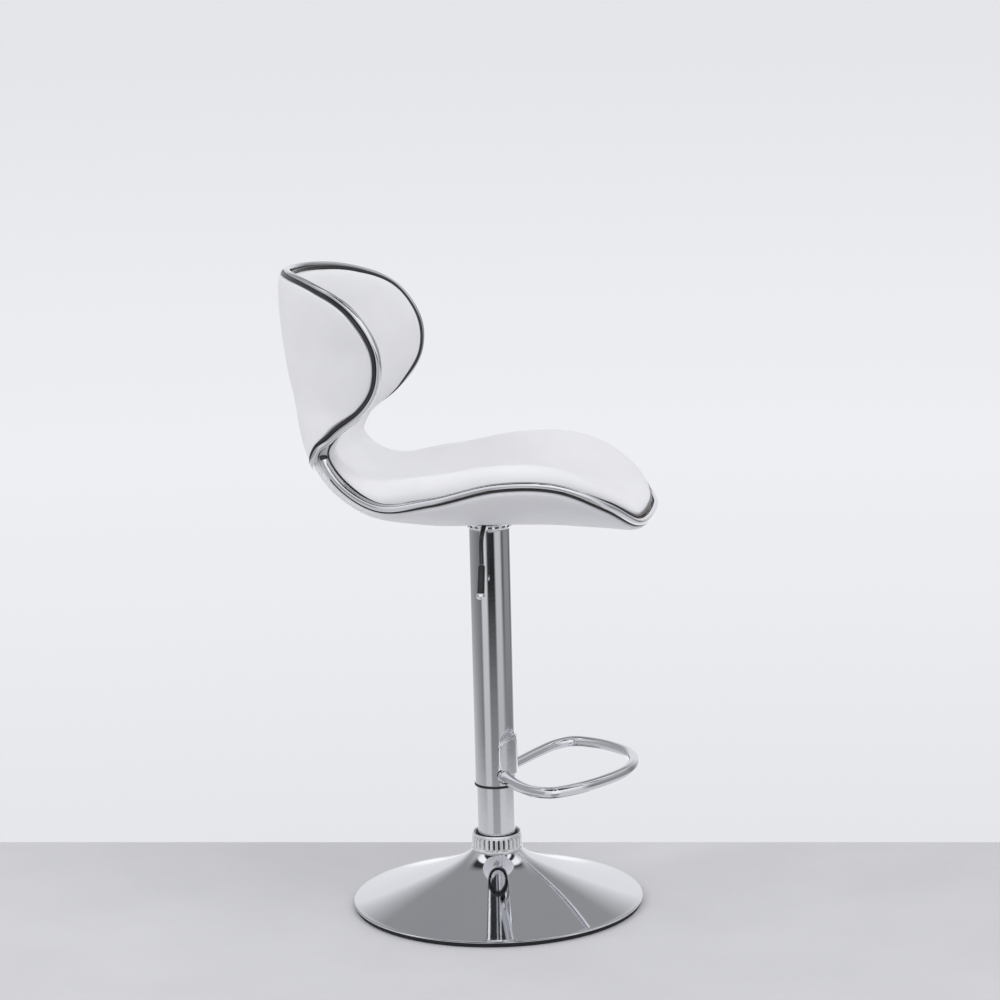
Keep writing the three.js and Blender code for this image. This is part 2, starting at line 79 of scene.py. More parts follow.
def ranged(tree, value, low, high, into_low=0.3, into_high=0.7):
    """A value spread from its own range over the range from low to high."""
    node = tree.nodes.new("ShaderNodeMapRange")
    node.inputs["From Min"].default_value = into_low
    node.inputs["From Max"].default_value = into_high
    node.inputs["To Min"].default_value = low
    node.inputs["To Max"].default_value = high
    link(tree, value, node.inputs["Value"])
    return node.outputs["Result"]


def blended(tree, first, second, factor):
    """The colour between two, each a plain colour or an output, at the factor's output."""
    node = tree.nodes.new("ShaderNodeMix")
    node.data_type = "RGBA"
    for socket, color in zip([s for s in node.inputs if s.type == "RGBA"], (first, second)):
        if isinstance(color, tuple):
            socket.default_value = (*color, 1)
        else:
            link(tree, color, socket)
    link(tree, factor, node.inputs["Factor"])
    return [s for s in node.outputs if s.type == "RGBA"][0]


def material(name, colors, rough, metallic=0.0, patch=25.0, grain=(), coat=0.0, coat_rough=0.2,
             specular=0.5, stretch=None):
    """A finish: two colours mixed in patches, a roughness that wanders between two values,
    and bumps, each (kind, scale per metre, height in metres)."""
    made = bpy.data.materials.new(name)
    made.use_nodes = True
    tree = made.node_tree
    shader = tree.nodes["Principled BSDF"]
    coords = tree.nodes.new("ShaderNodeTexCoord").outputs["Object"]
    patches = ranged(tree, noise(tree, coords, patch, 4, stretch=stretch), 0, 1)
    link(tree, blended(tree, *colors, patches), shader.inputs["Base Color"])
    wander = noise(tree, coords, patch * 3.1, 5, 0.6, stretch)
    link(tree, ranged(tree, wander, *rough), shader.inputs["Roughness"])
    shader.inputs["Metallic"].default_value = metallic
    shader.inputs["Coat Weight"].default_value = coat
    shader.inputs["Coat Roughness"].default_value = coat_rough
    shader.inputs["Specular IOR Level"].default_value = specular
    before = None
    for kind, scale, height in grain:
        if kind == "cells":
            cells = tree.nodes.new("ShaderNodeTexVoronoi")
            cells.inputs["Scale"].default_value = scale
            link(tree, coords, cells.inputs["Vector"])
            value = cells.outputs["Distance"]
        elif kind == "lines":
            value = noise(tree, coords, scale, 2, 0.5, (1, 1, 0.02))
        else:
            value = noise(tree, coords, scale, 4, 0.6)
        bump = tree.nodes.new("ShaderNodeBump")
        bump.inputs["Distance"].default_value = height
        bump.inputs["Strength"].default_value = 1.0
        link(tree, value, bump.inputs["Height"])
        if before:
            link(tree, before, bump.inputs["Normal"])
        before = bump.outputs["Normal"]
    if before:
        link(tree, before, shader.inputs["Normal"])
    return made


FINISHES = {
    "chrome": material("chrome_plate", ((0.80, 0.81, 0.84), (0.84, 0.85, 0.87)), (0.025, 0.06),
                       1.0, 8, (("noise", 90, 0.00002), ("noise", 1400, 0.0000015))),
    "cast_chrome": material("cast_chrome", ((0.86, 0.86, 0.87), (0.92, 0.92, 0.93)), (0.10, 0.2),
                            0.6, 40, (("noise", 900, 0.00001),), 0.4, 0.05),
    "steel": material("drawn_steel", ((0.50, 0.51, 0.53), (0.62, 0.63, 0.65)), (0.25, 0.42), 1.0, 60,
                      (("lines", 1500, 0.00001),), stretch=(1, 1, 0.1)),
    "black_steel": material("black_enamel", ((0.012, 0.012, 0.014), (0.022, 0.022, 0.025)),
                            (0.2, 0.32), 0.0, 60, (("noise", 1500, 0.00001),), 0.3, 0.15),
    "zinc": material("zinc_plate", ((0.58, 0.60, 0.60), (0.72, 0.73, 0.70)), (0.28, 0.45), 1.0, 90,
                     (("cells", 900, 0.00001),)),
    "white_vinyl": material("white_vinyl", ((0.80, 0.80, 0.815), (0.835, 0.835, 0.845)),
                            (0.40, 0.52), 0.0, 18,
                            (("cells", 1300, 0.00006), ("noise", 700, 0.00004)), 0.12, 0.35),
    "black_vinyl": material("black_vinyl", ((0.012, 0.012, 0.014), (0.022, 0.022, 0.026)),
                            (0.26, 0.4), 0.0, 60,
                            (("cells", 1800, 0.00004), ("noise", 900, 0.00003)), 0.25, 0.25),
    "black_plastic": material("black_plastic", ((0.012, 0.012, 0.013), (0.02, 0.02, 0.022)),
                              (0.28, 0.42), 0.0, 80, (("noise", 2200, 0.00002),)),
    "rubber": material("black_rubber", ((0.012, 0.012, 0.013), (0.028, 0.028, 0.03)), (0.55, 0.8),
                       0.0, 50, (("noise", 1200, 0.00006),), specular=0.3),
    "brass": material("bearing_bronze", ((0.55, 0.40, 0.2), (0.68, 0.52, 0.28)), (0.25, 0.4), 1.0,
                      70, (("lines", 1400, 0.00001),)),
    "birch": material("birch_ply", ((0.50, 0.34, 0.18), (0.66, 0.48, 0.28)), (0.5, 0.7), 0.0, 30,
                      (("noise", 500, 0.00008),), stretch=(0.15, 1, 6)),
}
SLOT_OF = {row["node"]: row["material_slot"] for row in frame["record"]["subparts"]}
for node, obj in frame["nodes"].items():
    obj.data.materials.clear()
    obj.data.materials.append(FINISHES[SLOT_OF[node]])


# ---------- mesh helpers, in millimetres about the column's axis ----------

def closed_mesh(name, verts, faces, dissolve=True):
    """A mesh with merged points and its faces turned outward."""
    co = np.array(verts, float).reshape(-1, 3) * MM
    co[:, 0] += AXIS_X
    mesh = bpy.data.meshes.new(name)
    mesh.from_pydata(co.tolist(), [], faces)
    work = bmesh.new()
    work.from_mesh(mesh)
    bmesh.ops.remove_doubles(work, verts=work.verts, dist=1e-6)
    if dissolve:
        bmesh.ops.dissolve_degenerate(work, edges=work.edges, dist=1e-7)
    bmesh.ops.recalc_face_normals(work, faces=work.faces)
    work.to_mesh(mesh)
    work.free()
    return mesh


def placed(name, data):
    """A new object in the scene for a mesh, camera or light."""
    obj = bpy.data.objects.new(name, data)
    bpy.context.scene.collection.objects.link(obj)
    return obj


def shaded(mesh, angle=SHARP_ANGLE):
    """Smooth shading with hard edges where faces meet at more than the angle in degrees."""
    mesh.shade_smooth()
    mesh.set_sharp_from_angle(angle=math.radians(angle))


def solid(name, verts, faces, body, nodes, angle=SHARP_ANGLE, finish=None):
    """A shaded closed mesh that rides on body and stands for the CAD nodes. Its finish is the
    slot's own unless another is named."""
    mesh = closed_mesh(name, verts, faces)
    shaded(mesh, angle)
    slot = SLOT_OF[nodes[0]]
    mesh.materials.append(FINISHES[finish or slot])
    obj = placed(name, mesh)
    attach(obj, body)
    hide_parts(*nodes)
    return obj


def skin(rings, looped=False):
    """Vertices and faces of a skin over rings of points; open ends are closed by fans."""
    around = len(rings[0])
    verts = [p for ring in rings for p in ring]
    faces = []
    strips = len(rings) if looped else len(rings) - 1
    for i in range(strips):
        here, there = i * around, (i + 1) % len(rings) * around
        for k in range(around):
            turn = (k + 1) % around
            faces.append((here + k, here + turn, there + turn, there + k))
    if not looped:
        for end in (0, len(rings) - 1):
            verts.append(np.mean(rings[end], axis=0))
            at = end * around
            faces += [(at + k, at + (k + 1) % around, len(verts) - 1) for k in range(around)]
    return verts, faces


def rounded(points, radius, steps=4):
    """A closed profile with each corner rounded; a point's third number is its own radius."""
    out = []
    count = len(points)
    for i, point in enumerate(points):
        p = np.array(point[:2], float)
        r = point[2] if len(point) > 2 else radius
        a = np.array(points[i - 1][:2], float) - p
        b = np.array(points[(i + 1) % count][:2], float) - p
        la, lb = np.linalg.norm(a), np.linalg.norm(b)
        cut = min(r, la * 0.45, lb * 0.45)
        if cut < 1e-3 or p[0] < 1e-6:
            out.append(tuple(p))
            continue
        start, end = p + a / la * cut, p + b / lb * cut
        for k in range(steps + 1):
            t = k / steps
            out.append(tuple((1 - t) ** 2 * start + 2 * t * (1 - t) * p + t * t * end))
    return held(out)


def held(profile, reach=0.6):
    """The profile with a support point near both ends of each long straight edge, so that
    smooth shading keeps long walls straight."""
    out = []
    for a, b in zip(profile, profile[1:] + profile[:1]):
        out.append(a)
        length = math.dist(a, b)
        if length > 12 * reach:
            for share in (reach / length, 1 - reach / length):
                out.append((mix(a[0], b[0], share), mix(a[1], b[1], share)))
    return out


def turned(profile, segments=96, shape=None):
    """Vertices and faces of a profile of (radius, height) turned about the column's axis.
    shape(radius, height, angle) may change the radius round the turn."""
    rings = []
    for i in range(segments):
        angle = 2 * math.pi * i / segments
        ring = []
        for r, z in profile:
            r = shape(r, z, angle) if shape else r
            ring.append((r * math.cos(angle), r * math.sin(angle), z))
        rings.append(ring)
    return skin(rings, looped=True)


def spline(points, closed=False):
    """A centripetal Catmull-Rom curve; the function takes the place as an index of points."""
    pts = np.array(points, float)
    count = len(pts)

    def at(u):
        i = math.floor(u) if closed else min(math.floor(u), count - 2)
        w = u - i
        if closed:
            p = [pts[(i + k) % count] for k in (-1, 0, 1, 2)]
        else:
            p = [pts[i - 1] if i else 2 * pts[0] - pts[1], pts[i], pts[i + 1],
                 pts[i + 2] if i + 2 < count else 2 * pts[-1] - pts[-2]]
        d = [max(np.sum((p[k + 1] - p[k]) ** 2) ** 0.25, 1e-4) for k in range(3)]
        t1 = ((p[1] - p[0]) / d[0] - (p[2] - p[0]) / (d[0] + d[1]) + (p[2] - p[1]) / d[1]) * d[1]
        t2 = ((p[2] - p[1]) / d[1] - (p[3] - p[1]) / (d[1] + d[2]) + (p[3] - p[2]) / d[2]) * d[1]
        a, b = p[1], p[2]
        return (a + t1 * w + (-3 * a + 3 * b - 2 * t1 - t2) * w * w
                + (2 * a - 2 * b + t1 + t2) * w ** 3)

    return at


def tube(points, radius, steps, sides=24):
    """Rings of a round tube along a curve through the points; radius(t, angle) may vary along
    it and round it."""
    curve = spline(points)
    line = [curve(u) for u in np.linspace(0, len(points) - 1, steps + 1)]
    tangents = np.gradient(np.array(line), axis=0)
    tangents /= np.linalg.norm(tangents, axis=1)[:, None]
    side = np.cross(tangents[0], (0.0, 0.3, 1.0))
    rings = []
    for i, (centre, along) in enumerate(zip(line, tangents)):
        side = side - along * (side @ along)
        side /= np.linalg.norm(side)
        other = np.cross(along, side)
        ring = []
        for k in range(sides):
            angle = 2 * math.pi * k / sides
            r = radius(i / steps, angle) if callable(radius) else radius
            ring.append(centre + r * (math.cos(angle) * side + math.sin(angle) * other))
        rings.append(ring)
    return rings


def boolean(obj, cutter_data, operation):
    """Cuts away or joins on a throwaway solid, given as vertices and faces in millimetres."""
    cutter = placed("cutter", closed_mesh("cutter", *cutter_data, dissolve=False))
    mod = obj.modifiers.new("cut", "BOOLEAN")
    mod.operation = operation
    mod.solver = "EXACT"
    mod.object = cutter
    bpy.context.view_layer.update()
    graph = bpy.context.evaluated_depsgraph_get()
    result = bpy.data.meshes.new_from_object(obj.evaluated_get(graph))
    obj.modifiers.clear()
    old = obj.data
    obj.data = result
    result.name = old.name + "_cut"
    bpy.data.meshes.remove(old)
    bpy.data.objects.remove(cutter)
    shaded(result)


def block(x, y, z, dx, dy, dz, turn=0.0):
    """A box as vertices and faces, turned about the column's axis."""
    c, s = math.cos(turn), math.sin(turn)
    verts = []
    for k in (-0.5, 0.5):
        for i, j in ((-0.5, -0.5), (0.5, -0.5), (0.5, 0.5), (-0.5, 0.5)):
            px, py = x + i * dx, y + j * dy
            verts.append((px * c - py * s, px * s + py * c, z + k * dz))
    walls = [(k, (k + 1) % 4, 4 + (k + 1) % 4, 4 + k) for k in range(4)]
    return verts, [(3, 2, 1, 0), (4, 5, 6, 7)] + walls


def merge(parts):
    """Several sets of vertices and faces as one."""
    verts, faces = [], []
    for v, f in parts:
        base = len(verts)
        verts += list(v)
        faces += [tuple(i + base for i in face) for face in f]
    return verts, faces


# ---------- the seat's surface, as in the CAD ----------

# Stations down the shell from the top of the back to the front of the seat:
# edge x, half width, edge z, middle x, middle z.
STATIONS = (
    (-253, 0, 847, -253, 847), (-234, 79, 845.5, -252, 825), (-192, 138, 835, -250.5, 800),
    (-143.5, 172, 809, -249, 773), (-112, 176, 759, -246, 742), (-113, 169, 714, -241.5, 712),
    (-137.5, 150, 677, -235, 681), (-177.5, 131, 646.5, -230, 650), (-192, 125, 622, -221, 618),
    (-170.5, 137, 588, -202, 585), (-116, 166, 562, -152, 553), (-50, 180, 571, -72, 541),
    (35, 185, 591, 15, 540), (110, 185, 589.5, 95, 540), (170, 165, 562.5, 155, 537),
    (202, 112, 534, 192, 533), (216, 0, 532, 216, 532),
)
LAST = len(STATIONS) - 1
# The station where the back ends and the seat begins.
WAIST = 8.5
left_edge = [(x, w, z) for x, w, z, _, _ in STATIONS]
EDGE = spline(left_edge + [(x, -w, z) for x, w, z in left_edge[-2:0:-1]], closed=True)
MIDDLE = spline([(x, 0, z) for _, _, _, x, z in STATIONS])


def surface(s, v):
    """Points at station s and across places v, -1 at the right edge to 1 at the left."""
    e, m = EDGE(s), MIDDLE(s)
    v = np.asarray(v, float)
    return np.stack([m[0] + (e[0] - m[0]) * v * v, e[1] * v, m[2] + (e[2] - m[2]) * v * v], -1)


def normals(s, v):
    """The surface's normals there, toward the sitter."""
    t = min(max(s, 0.15), LAST - 0.15)
    v = np.asarray(v, float)
    across = surface(t, v + 0.02) - surface(t, v - 0.02)
    down = surface(t + 0.04, v) - surface(t - 0.04, v)
    n = np.cross(down, across)
    return n / np.linalg.norm(n, axis=-1, keepdims=True)


def edge_frame(s):
    """The left edge at s: its point, the way outward in the surface, the way to the sitter."""
    c = EDGE(s)
    along = EDGE(min(s + 0.03, LAST)) - EDGE(max(s - 0.03, 0))
    if s < 0.03:
        along = np.array((0.0, 1.0, 0.0))
    if s > LAST - 0.03:
        along = np.array((0.0, -1.0, 0.0))
    along = along / np.linalg.norm(along)
    t = min(max(s, 1), LAST - 1)
    inside = surface(t, 0.7 * min(1, c[1] / EDGE(t)[1]))
    o = c - inside
    o = o - along * (o @ along)
    o = o / np.linalg.norm(o)
    return c, o, np.cross(along, o)


FLIP = np.array((1.0, -1.0, 1.0))


def mirrored(parts):
    """Points and directions at the left mirrored to the right."""
    return tuple(p * FLIP for p in parts)


def smooth(x, a, b):
    """A soft step from 0 at a to 1 at b."""
    t = min(max((x - a) / (b - a), 0), 1)
    return t * t * (3 - 2 * t)


def mix(a, b, t):
    """The value a share t of the way from a to b."""
    return a + (b - a) * t


def search_tree(points):
    """A tree that finds the nearest of the points."""
    tree = KDTree(len(points))
    for index, point in enumerate(points):
        tree.insert(point, index)
    tree.balance()
    return tree


EDGE_STEPS = 640
left_frames = [edge_frame(i / EDGE_STEPS * LAST) for i in range(EDGE_STEPS + 1)]
EDGE_FRAMES = left_frames + [mirrored(f) for f in left_frames]
EDGE_TREE = search_tree([f[0] for f in EDGE_FRAMES])


def rise(d, radius):
    """A quarter round's height from 0 at the edge to 1 at the radius and beyond."""
    return math.sqrt(1 - (1 - min(d / radius, 1)) ** 2)


INSET_REACH = 55


def layer(s0, s1, inset, low, high, columns=64, rows=10):
    """A layer of the shell between stations s0 and s1. inset(s) draws its edge in; low(s, d)
    and high(s, d) are its faces' heights over the surface at distance d from the edge."""
    ends = [s for s in (s0, s1) if 0 < s < LAST]
    end_line = [p for s in ends for p in surface(s, np.linspace(-1, 1, 81))]
    end_tree = search_tree(end_line) if ends else None
    places = np.sin(np.pi / 2 * np.linspace(-1, 1, columns + 1))

    def ring(s, thickness):
        top, bottom = [], []
        points = surface(s, places)
        ns = normals(s, places if 0 < s < LAST else places * 0)
        for p, n in zip(points, ns):
            _, index, distance = EDGE_TREE.find(p)
            outward = EDGE_FRAMES[index][1]
            d = min(distance, end_tree.find(p)[2]) if end_tree else distance
            base = p - outward * inset(s) * max(0, 1 - distance / INSET_REACH) ** 2
            up, down = high(s, d), low(s, d)
            middle = (up + down) / 2
            top.append(base + n * mix(middle, up, thickness))
            bottom.append(base + n * mix(middle, down, thickness))
        return top + bottom[::-1]

    stations = [s0] + [s for s in np.arange(0, LAST + 0.01, 1 / rows) if s0 < s < s1] + [s1]
    rings = [ring(s, 1) for s in stations]
    if s0 > 0:
        rings.insert(0, ring(s0, 0))
    if s1 < LAST:
        rings.append(ring(s1, 0))
    return skin(rings)


def is_seat(s):
    """0 on the back, 1 on the seat."""
    return smooth(s, 8, 9.5)


def cushion_depth(s):
    """The crowned cushion's height over the surface."""
    return mix(24, 37, smooth(s, 8.5, 11)) - 20 * smooth(s, 12.3, 14.9)


def belly_depth(s):
    """How far the underside cover hangs below the surface."""
    return mix(12, 24.5, smooth(s, 9.2, 11.6))


def waist_wrap(s):
    """1 at the waist, where the cover turns down over the board's edge, which the trims
    leave bare, and 0 elsewhere."""
    return smooth(s, 7.1, 7.6) * (1 - smooth(s, 9.8, 10.6))


cushion = solid("seat_upholstery", *layer(
    0, LAST,
    inset=lambda s: mix(6.8, 7.4, is_seat(s)) - 2.4 * waist_wrap(s),
    low=lambda s, d: 5.4 - 10.2 * waist_wrap(s) * (1 - smooth(d, 7, 9)),
    high=lambda s, d: 8 + (cushion_depth(s) - 8) * rise(d, mix(46, 36, is_seat(s))),
), "upper", ["seat_cushion"], 60)
solid("shell_board", *layer(
    0, LAST,
    inset=lambda s: mix(8, 10, is_seat(s)) + 16 * waist_wrap(s),
    low=lambda s, d: -4,
    high=lambda s, d: 4,
    columns=32,
    rows=6,
), "upper", ["seat_board"], 50)
panel = solid("back_cover", *layer(
    0, WAIST,
    inset=lambda s: 4.4 + 5 * smooth(s, 7.2, 8),
    low=lambda s, d: -9.2 - 5.3 * rise(d, 60),
    high=lambda s, d: -5.3,
), "upper", ["back_panel"], 60)
belly = solid("underside_cover", *layer(
    WAIST + 0.015, LAST,
    inset=lambda s: 3.1,
    low=lambda s, d: -8.6 - (belly_depth(s) - 8.6) * rise(d, mix(40, 100, smooth(s, 9, 12))),
    high=lambda s, d: -5.2,
), "upper", ["seat_belly"], 60)
boolean(belly, turned([(0, 490), (54, 490), (54, 550), (0, 550)], 96), "DIFFERENCE")


# ---------- trim and piping along the edges ----------

def strip(frames, section, looped):
    """A strip swept along edge frames; section(t) gives (outward, towards sitter) offsets."""
    rings = []
    for i, (c, o, n) in enumerate(frames):
        rings.append([c + o * a + n * b for a, b in section(i / (len(frames) - 1))])
    return skin(rings, looped)


def oval(centre, half, sides=24):
    """A section with the given centre and half width and height."""
    return [(centre[0] + half[0] * math.cos(2 * math.pi * (k + 0.5) / sides),
             centre[1] + half[1] * math.sin(2 * math.pi * (k + 0.5) / sides)) for k in range(sides)]


def edge_path(a, b, steps):
    """Frames down the left edge from station a to b and back up the right edge."""
    left = [edge_frame(mix(a, b, i / steps)) for i in range(steps + 1)]
    return left + [mirrored(f) for f in left[-2::-1]]


def eased(values):
    """A closed row of points with its kinks near the waist's corners smoothed away."""
    count = len(values)
    soft = values
    for _ in range(60):
        soft = (np.roll(soft, 1, 0) + 2 * soft + np.roll(soft, -1, 0)) / 4
    share = np.abs(np.arange(count) / count - 0.5)
    weight = np.array([smooth(t, 0.12, 0.17) * (1 - smooth(t, 0.27, 0.32)) for t in share])
    return values + (soft - values) * weight[:, None]


def back_path(steps):
    """Round the back cover: down the edge, round the waist's corner, across behind, and up."""
    left = [edge_frame(i * 0.52)[:2] for i in range(15)]
    corner = (
        ((-198, 127, 628.5), (-0.35, 0.93, -0.1)), ((-205.5, 121, 614), (-0.6, 0.75, -0.25)),
        ((-209, 104, 604), (-0.8, 0.45, -0.4)), ((-216, 74, 598), (-0.88, 0.22, -0.42)),
        ((-223, 38, 594.5), (-0.9, 0.08, -0.44)), ((-226, 0, 593.5), (-0.9, 0, -0.44)),
    )
    for c, o in corner:
        o = np.array(o)
        left.append((np.array(c, float), o / np.linalg.norm(o)))
    whole = left + [mirrored(f) for f in left[-2:0:-1]]
    line = spline([f[0] for f in whole], closed=True)
    facing = spline([f[1] for f in whole], closed=True)
    spots = [i / steps * len(whole) for i in range(steps)]
    centres = eased(np.array([line(u) for u in spots]))
    facings = eased(np.array([facing(u) for u in spots]))
    out = []
    for i in range(steps):
        tangent = centres[(i + 1) % steps] - centres[i - 1]
        tangent = tangent / np.linalg.norm(tangent)
        o = facings[i] - tangent * (facings[i] @ tangent)
        o = o / np.linalg.norm(o)
        out.append((centres[i], o, np.cross(tangent, o)))
    return out


BACK_LOOP = back_path(480)


def waistward(t):
    """1 at the back's lowest point, a share of 0.5 round it, and 0 away from it."""
    return 1 - smooth(abs(t - 0.5), 0.05, 0.16)


def back_strip(section):
    """A strip round the back cover; section(w) is the section where waistward gives w."""
    share = (len(BACK_LOOP) - 1) / len(BACK_LOOP)
    return strip(BACK_LOOP, lambda t: section(waistward(t * share)), True)


solid("back_bead", *back_strip(lambda w: oval((0, 0), (mix(3.9, 4.6, w), mix(3.9, 5.6, w)), 28)),
      "upper", ["back_trim"])
solid("back_welt", *back_strip(
    lambda w: oval((mix(-1.8, 0, w), mix(-5.9, -7.2, w)), (2.1, 2.1), 16)),
      "upper", ["back_piping"])

TRIM_START = 8.15


def trim_section(t):
    """The bright bead, a little thicker near the waist and drawn in at its very ends."""
    size = mix(0.8, 1, min(1, t / 0.02, (1 - t) / 0.02))
    size *= mix(1.16, 1, smooth(min(t, 1 - t), 0.06, 0.22))
    return oval((0, 0), (4.2 * size, 4.3 * size), 28)


solid("seat_bead", *strip(edge_path(TRIM_START, LAST, 240), trim_section, False),
      "upper", ["seat_trim"])
CAP_START = TRIM_START - 0.155
CAP_LENGTH = 0.2
cap_frames = [edge_frame(CAP_START + i * CAP_LENGTH / 20) for i in range(21)]


def cap_section(t):
    """A round-ended cap over the bead."""
    size = math.sqrt(max(0.02, 1 - (2 * t - 1) ** 4))
    return oval((0, 0), (5.2 * size, 5.2 * size), 24)


solid("bead_end_left", *strip(cap_frames, cap_section, False), "upper", ["trim_cap_left"])
solid("bead_end_right", *strip([mirrored(f) for f in cap_frames[::-1]], cap_section, False),
      "upper", ["trim_cap_right"])


def welt_section(t):
    """The lower welt, which thins out towards the waist."""
    size = mix(0.45, 1, smooth(min(t, 1 - t), 0.03, 0.24))
    return oval((-1.6, -5.7), (1.4 * size, 1.3 * size), 16)


solid("seat_welt", *strip(edge_path(WAIST + 0.25, LAST, 230), welt_section, False),
      "upper", ["seat_piping"])
inner_frames = edge_path(0, LAST, 360)[:-1]


def inner_section(t):
    """The welt between cushion and beads, all round the shell, thinner at the waist."""
    s = LAST * (1 - abs(2 * t - 1))
    waist = smooth(s, 7.1, 7.7) * (1 - smooth(s, 9, 10.4))
    r = mix(mix(2.5, 1.9, is_seat(s)), 1.2, waist)
    out = mix(mix(-4.3, -6.6, is_seat(s)), -5, waist)
    height = mix(mix(5.8, 3, is_seat(s)), 7, waist) + 2.5 * smooth(s, 13, 14.2)
    return oval((out, height), (r, r), 16)


solid("inner_welt", *strip(inner_frames, inner_section, True), "upper", ["inner_piping"])


# ---------- base and column ----------

DISH_NECK = (32, 73)
DISH_FOOT = (188.5, 7.9)
DISH_SHEET = 1.5


def dish_height(r):
    """The dish's upper face: nearly a cone, hollow at first and steep just under the neck."""
    t = min(max((DISH_FOOT[0] - r) / (DISH_FOOT[0] - DISH_NECK[0]), 0), 1)
    return mix(DISH_FOOT[1], DISH_NECK[1], 0.7 * t + 0.19 * t ** 2 + 0.11 * t ** 14)


dish_out = [(r, dish_height(r)) for r in np.linspace(DISH_NECK[0], DISH_FOOT[0], 70)]
dish_rim = [(190.6, 7.8), (191.9, 7.3), (192.5, 6.5), (192.2, 5.7), (191.4, 5.3), (189.4, 5.3)]
dish_in = [(r, dish_height(r) - DISH_SHEET) for r in np.linspace(187, 30.6, 60)]
solid("dish_shell", *turned(dish_out + dish_rim + dish_in, 192), "base", ["base_dish"])
solid("floor_pad", *turned(rounded([(173.5, 0), (190.5, 0), (190.5, 4.9), (185, 4.9), (184, 3.2),
                                    (173.5, 3.2)], 0.8), 160), "base", ["floor_ring"])
solid("column_tube", *turned(rounded([(25, 9.5), (25, 490), (23.4, 490), (23.4, 13.5), (5.7, 13.5),
                                      (5.7, 9.5)], 0.5), 128), "base", ["base_tube"])


RIBS = 30
RIB_FOOT, RIB_TOP = 78, 91.4
RIB_INSIDE = 29.6
GAP_DEPTH, RIB_HEIGHT = 3.4, 5


def ribbed(r, z, angle):
    """Soft upright ribs round the collar's waist, with deep gaps between them."""
    if r < RIB_INSIDE or not RIB_FOOT < z < RIB_TOP:
        return r
    wave = abs(((angle * RIBS / (2 * math.pi) + 0.5) % 1) - 0.5) * 2
    rib = smooth(0.66 - wave, -0.12, 0.12)
    fade = min(smooth(z, RIB_FOOT, 79.2), 1 - smooth(z, 90.2, RIB_TOP))
    return r - GAP_DEPTH * fade + RIB_HEIGHT * rib * fade


collar = rounded([(26.8, 73.4), (33.6, 73.4), (34.2, 75.6), (32.6, 77.6), (31.4, 78.2, 0.3),
                  (31.4, 91.2, 0.3), (32.4, 92, 0.4), (33, 94.2), (32.4, 96.6), (30.6, 96.2),
                  (29.4, 93.2), (26.8, 92)], 0.7)
# Its outer side is divided finely enough for the ribs to bend it.
collar_fine = []
for (r0, z0), (r1, z1) in zip(collar, collar[1:] + collar[:1]):
    outside = min(r0, r1) > RIB_INSIDE
    pieces = max(1, int(math.hypot(r1 - r0, z1 - z0) / 0.7)) if outside else 1
    collar_fine += [(mix(r0, r1, k / pieces), mix(z0, z1, k / pieces)) for k in range(pieces)]
solid("collar_crown", *turned(collar_fine, 400, ribbed), "base", ["collar_ring"], 50,
      finish="cast_chrome")
solid("collar_seal", *turned(rounded([(25.3, 78), (29, 78), (29, 91.4), (28.6, 93.4), (27.4, 95.4),
                                      (25.3, 96)], 0.6), 96),
      "base", ["collar_gasket"])
solid("outer_sleeve", *turned(rounded([(25.8, 164), (27, 164), (27, 505.6), (25.8, 505.6)], 0.4),
                              128), "upper", ["sleeve"])
solid("sleeve_skirt", *turned(rounded([(25.3, 160.6), (27.6, 160.6), (28, 162.2), (27.6, 163.7),
                                       (25.3, 163.7)], 0.5), 96), "upper", ["sleeve_bush"])
hub = solid("hub_flare", *turned(rounded(
    [(14.8, 498.4), (25.6, 498.4), (25.6, 505.8), (27.4, 506), (28, 507.6), (29.3, 509.8),
     (31.4, 512.5), (34, 514.4), (32.4, 514.8), (29.8, 512.9), (27.8, 510.4), (26.2, 507.8),
     (24.4, 506.6), (24.4, 500.4), (14.8, 500.4)], 0.8), 120),
    "upper", ["hub_cone"])
HUB_SLOTS = 20
boolean(hub, merge([block(30, 0, 510.6, 10, 5.4, 3.6, (i + 0.5) / HUB_SLOTS * 2 * math.pi)
                    for i in range(HUB_SLOTS)]), "DIFFERENCE")


# ---------- footrest ----------

def loop_z(x):
    """The tube's height at a place in front of the column: it rises slightly to the front."""
    return 179.5 + 0.067 * x - 3.5 * (1 - smooth(x, 20, 85))


loop_half = ((10, 16), (24, 44), (46, 86), (67, 115), (90, 127), (121, 112), (151, 83), (175, 45))
loop_plan = ([(x, -y) for x, y in loop_half] + [(184, 0)] + [(x, y) for x, y in loop_half[::-1]])
LOOP_POINTS = [(x, y, loop_z(x)) for x, y in loop_plan]


LOOP_LENGTH = 620
LOOP_RADIUS = 7.5
WELD_DISTANCE = 17
WELD_SIZE = 1.6


def loop_radius(t, angle):
    """The tube's radius, swelling into a lumpy weld where it meets the saddle."""
    from_weld = min(t, 1 - t) * LOOP_LENGTH - WELD_DISTANCE
    lumps = 0.35 * math.sin(9 * angle + 40 * t)
    return LOOP_RADIUS + (WELD_SIZE + lumps) * math.exp(-max(from_weld, 0) / WELD_SIZE)


loop = solid("footrest_tube", *skin(tube(LOOP_POINTS, loop_radius, 300, 32)), "upper",
             ["footrest_loop"], 60)
boolean(loop, turned([(0, 100), (30.1, 100), (30.1, 260), (0, 260)], 128), "DIFFERENCE")

